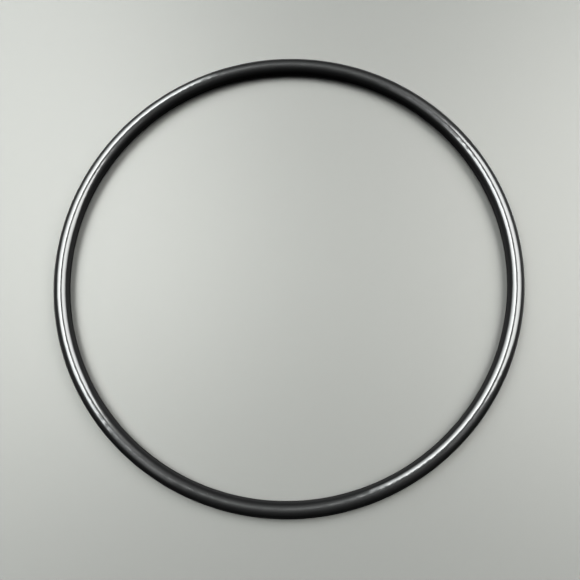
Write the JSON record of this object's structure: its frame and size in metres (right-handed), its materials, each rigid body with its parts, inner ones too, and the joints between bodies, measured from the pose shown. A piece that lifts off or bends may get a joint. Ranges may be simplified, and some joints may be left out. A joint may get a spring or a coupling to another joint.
{
  "type": "rubber o-ring",
  "caption": "Black rubber o-ring: a continuous moulded ring of round section that seals the joint between a shaft, plug or cover and the bore or face around it.",
  "frame": {"origin": "centre of the ring, midway through its thickness", "axes": "+Z along the ring's axis, upwards as the ring lies flat; X and Y in the plane of the ring"},
  "size_m": [0.086, 0.086, 0.003],
  "materials": {
    "rubber": "satin black moulded rubber with a fine grain"
  },
  "bodies": {
    "root": {"o_ring": "rubber"}
  },
  "joints": []
}
